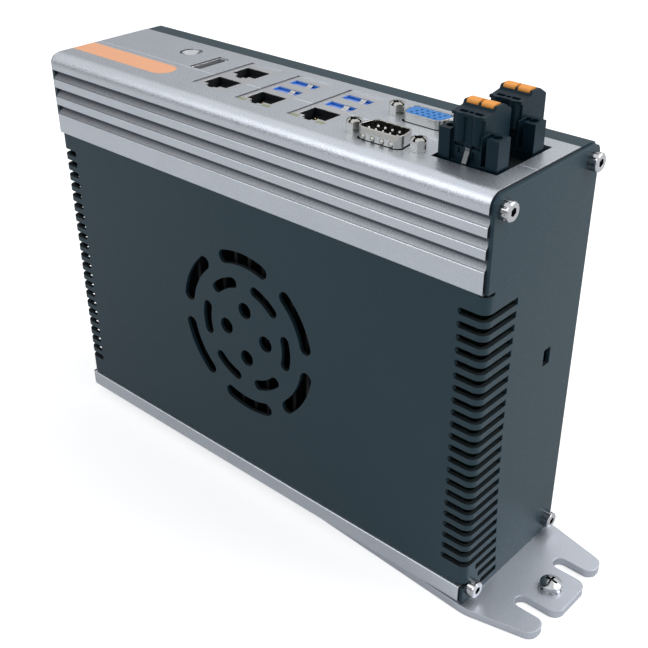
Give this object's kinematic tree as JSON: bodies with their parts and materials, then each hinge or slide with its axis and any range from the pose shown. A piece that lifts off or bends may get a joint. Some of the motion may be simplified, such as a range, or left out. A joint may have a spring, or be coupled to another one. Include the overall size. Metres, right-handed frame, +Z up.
{
  "type": "fanless industrial pc",
  "caption": "Slim fanless box computer with silver ribbed edges, black slotted covers, a connector strip on top and a slotted mounting plate below.",
  "frame": {"origin": "on the underside of the mounting plate, below the middle of the box", "axes": "+X along the box towards the end with the slotted ears, +Y from the grille side to the plain side, +Z up through the connector strip"},
  "size_m": [0.231, 0.0568, 0.1721],
  "materials": {
    "silver": "satin anodised",
    "accent": "satin",
    "black_sheet": "fine textured powder coat",
    "black_screw": "black oxide",
    "plate": "zinc plated, satin",
    "bright_steel": "bright nickel",
    "nickel": "satin nickel",
    "button_metal": "satin",
    "black_plastic": "matte",
    "usb_blue": "matte",
    "vga_blue": "matte",
    "plug_black": "matte",
    "lever_orange": "satin",
    "strap_grey": "satin",
    "gold": "bright",
    "board": "satin solder mask",
    "chip": "matte",
    "sink": "extruded, black anodised",
    "led_lens": "frosted, translucent",
    "pad": "matte"
  },
  "bodies": {
    "housing": {"front_extrusion": "silver", "io_strip": "silver", "bottom_extrusion": "silver", "accent_inlay": "accent", "side_cover": "black_sheet", "rear_cover": "black_sheet", "rear_screws": "black_screw", "end_screws": "bright_steel", "mounting_plate": "plate", "plate_screws": "bright_steel", "earth_washer": "bright_steel", "earth_screw": "bright_steel", "power_switch": "black_plastic", "hdmi_shell": "nickel", "hdmi_tongue": "black_plastic", "lan_pair_shell": "nickel", "lan_pair_core": "black_plastic", "combo_left_shell": "nickel", "combo_left_core": "black_plastic", "combo_left_tongues": "usb_blue", "combo_right_shell": "nickel", "combo_right_core": "black_plastic", "combo_right_tongues": "usb_blue", "led_lenses": "led_lens", "com_shell": "nickel", "com_insulator": "black_plastic", "com_pins": "gold", "vga_shell": "nickel", "vga_insulator": "vga_blue", "jackscrews": "bright_steel", "dsub_frame": "black_plastic", "terminal_header": "black_plastic", "header_pins": "gold", "mainboard": "board", "standoffs": "gold", "board_screws": "bright_steel", "processor": "chip", "thermal_pad": "pad", "heatsink": "sink", "memory_socket": "black_plastic", "memory_module": "board", "solid_state_drive": "board", "coin_holder": "black_plastic", "coin_cell": "bright_steel", "inductors": "chip", "capacitors": "chip"},
    "near_plug": {"near_plug_body": "plug_black", "near_plug_clamps": "bright_steel", "near_plug_strap": "strap_grey"},
    "far_plug": {"far_plug_body": "plug_black", "far_plug_clamps": "bright_steel", "far_plug_strap": "strap_grey"},
    "near_lever_left": {"near_plug_lever_left": "lever_orange"},
    "near_lever_right": {"near_plug_lever_right": "lever_orange"},
    "far_lever_left": {"far_plug_lever_left": "lever_orange"},
    "far_lever_right": {"far_plug_lever_right": "lever_orange"},
    "button": {"power_button": "button_metal", "switch_plunger": "black_plastic"}
  },
  "joints": [
    {"name": "near_plug_pull", "type": "slide", "parent": "housing", "child": "near_plug", "axis": [0, 0, 1], "range_m": [0, 0.012]},
    {"name": "near_lever_left_press", "type": "slide", "parent": "near_plug", "child": "near_lever_left", "axis": [0, 0, -1], "range_m": [0, 0.0015], "stiffness_N_per_m": 1000},
    {"name": "near_lever_right_press", "type": "slide", "parent": "near_plug", "child": "near_lever_right", "axis": [0, 0, -1], "range_m": [0, 0.0015], "stiffness_N_per_m": 1000},
    {"name": "far_plug_pull", "type": "slide", "parent": "housing", "child": "far_plug", "axis": [0, 0, 1], "range_m": [0, 0.012]},
    {"name": "far_lever_left_press", "type": "slide", "parent": "far_plug", "child": "far_lever_left", "axis": [0, 0, -1], "range_m": [0, 0.0015], "stiffness_N_per_m": 1000},
    {"name": "far_lever_right_press", "type": "slide", "parent": "far_plug", "child": "far_lever_right", "axis": [0, 0, -1], "range_m": [0, 0.0015], "stiffness_N_per_m": 1000},
    {"name": "button_press", "type": "slide", "parent": "housing", "child": "button", "axis": [0, 0, -1], "range_m": [0, 0.0008], "stiffness_N_per_m": 1500}
  ]
}
